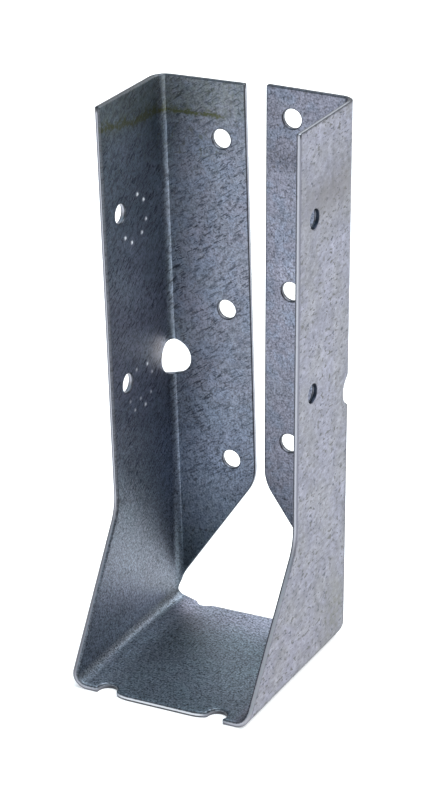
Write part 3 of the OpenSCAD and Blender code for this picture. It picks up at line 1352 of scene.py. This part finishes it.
def look_back(place: tuple, aim: tuple) -> Matrix:
    """Where a light stands, turned so that it points from place to aim.

    Its Z is the unit vector from aim to place, its X is level, and its Y is their cross
    product.

    Args:
        place: where it stands.
        aim: what it points at.

    Returns:
        The light's matrix.
    """
    back = np.array(place, float) - np.array(aim, float)
    back = back / np.linalg.norm(back)
    right = np.cross((0.0, 1.0, 0.0), back)
    right = right / np.linalg.norm(right)
    turn = np.eye(4)
    turn[:3, 0], turn[:3, 1] = right, np.cross(back, right)
    turn[:3, 2], turn[:3, 3] = back, place
    return Matrix(turn.tolist())


@dataclass
class Studio:
    """Floor, lights, surroundings and camera."""

    azimuth: float = 28.504342
    elevation: float = 23.462755
    roll: float = -1.905523
    distance: float = 571.59756
    target: tuple[float, float, float] = (0.458092, 5.45, 58.643514)
    focal_share: float = 3.4818608
    sensor: float = 36.0
    floor_size: float = 8.0
    floor_drop: float = 0.00004
    backdrop: Colour = (1.0, 1.0, 1.0, 1.0)
    ceiling: Colour = (0.30, 0.53, 0.66, 1.0)
    ceiling_rise: tuple[float, float] = (0.35, 0.75)
    sky_strength: float = 5.0
    sky_angle: float = 70.0
    sky_place: tuple[float, float, float] = (0.35, 0.3, 1.0)

    def build(self) -> None:
        """Make everything that is not the hanger."""
        self.make_floor()
        self.make_world()
        self.make_sky()
        self.make_camera()
        bpy.context.scene.view_settings.view_transform = "Standard"

    def make_floor(self) -> None:
        """A wide pale floor just under the seat."""
        half, z = self.floor_size / 2, -self.floor_drop
        mesh = bpy.data.meshes.new("floor")
        corners = [(-half, -half, z), (half, -half, z), (half, half, z), (-half, half, z)]
        mesh.from_pydata(corners, [], [(0, 1, 2, 3)])
        floor = bpy.data.objects.new("floor", mesh)
        floor.data.materials.append(StudioFloor().build())
        bpy.context.scene.collection.objects.link(floor)

    def make_world(self) -> None:
        """Surroundings that are white low down and dim overhead, by the ray's height."""
        world = bpy.data.worlds.new("studio")
        g = Graph(world)
        place = g.node("ShaderNodeTexCoord")
        ray = g.node("ShaderNodeSeparateXYZ", None, {0: place.outputs["Generated"]})
        share = Value(g, ray.outputs["Z"]).ramp(*self.ceiling_rise)
        colour = g.mix(share, self.backdrop, self.ceiling)
        g.surface("ShaderNodeBackground", {"Color": colour}, "World")
        bpy.context.scene.world = world

    def make_sky(self) -> None:
        """One very wide, soft light from overhead, even over the whole floor."""
        data = bpy.data.lights.new("overhead", "SUN")
        data.energy = self.sky_strength
        data.angle = math.radians(self.sky_angle)
        made = bpy.data.objects.new("overhead", data)
        made.matrix_world = look_back(self.sky_place, (0.0, 0.0, 0.0))
        bpy.context.scene.collection.objects.link(made)

    def make_camera(self) -> None:
        """A camera with its axes worked out from its azimuth, elevation and roll.

        The back axis is (sin a cos e, -cos a cos e, sin e), the level right axis is
        (cos a, sin a, 0), and both side axes are then turned by the roll.
        """
        a, e, roll = (math.radians(v) for v in (self.azimuth, self.elevation, self.roll))
        back = np.array([math.sin(a) * math.cos(e), -math.cos(a) * math.cos(e), math.sin(e)])
        level = np.array([math.cos(a), math.sin(a), 0.0])
        above = np.cross(back, level)
        right = level * math.cos(roll) + above * math.sin(roll)
        above = above * math.cos(roll) - level * math.sin(roll)
        turn = np.eye(4)
        turn[:3, 0], turn[:3, 1], turn[:3, 2] = right, above, back
        turn[:3, 3] = (np.array(self.target) + back * self.distance) * METRES
        data = bpy.data.cameras.new("camera")
        data.sensor_width = self.sensor
        data.lens = self.sensor * self.focal_share
        data.clip_start, data.clip_end = 0.01, 50.0
        camera = bpy.data.objects.new("camera", data)
        camera.matrix_world = Matrix(turn.tolist())
        bpy.context.scene.collection.objects.link(camera)
        bpy.context.scene.camera = camera


def main() -> None:
    """Build the hanger and its studio."""
    logging.basicConfig(level=logging.INFO, format="%(name)s: %(message)s")
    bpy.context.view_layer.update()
    folding = Folding()
    sides = (
        SideSizes(Hand.LEFT, -20.95, 20.8, 15.05, (36.1, 70.7, 108.2), (58.7, 96.1)),
        SideSizes(Hand.RIGHT, -21.75, 20.1, 14.2, (42.1, 76.7, 114.2), (63.9, 101.3)),
    )
    hanger = Hanger(Blank(folding, sides), GalvanisedSteel())
    piece = hanger.build()
    hanger.dress()
    LOG.info("%s: %d faces", piece.name, len(piece.data.polygons))
    Studio().build()
    LOG.info("studio: floor, lights and camera")


if __name__ == "__main__":
    main()
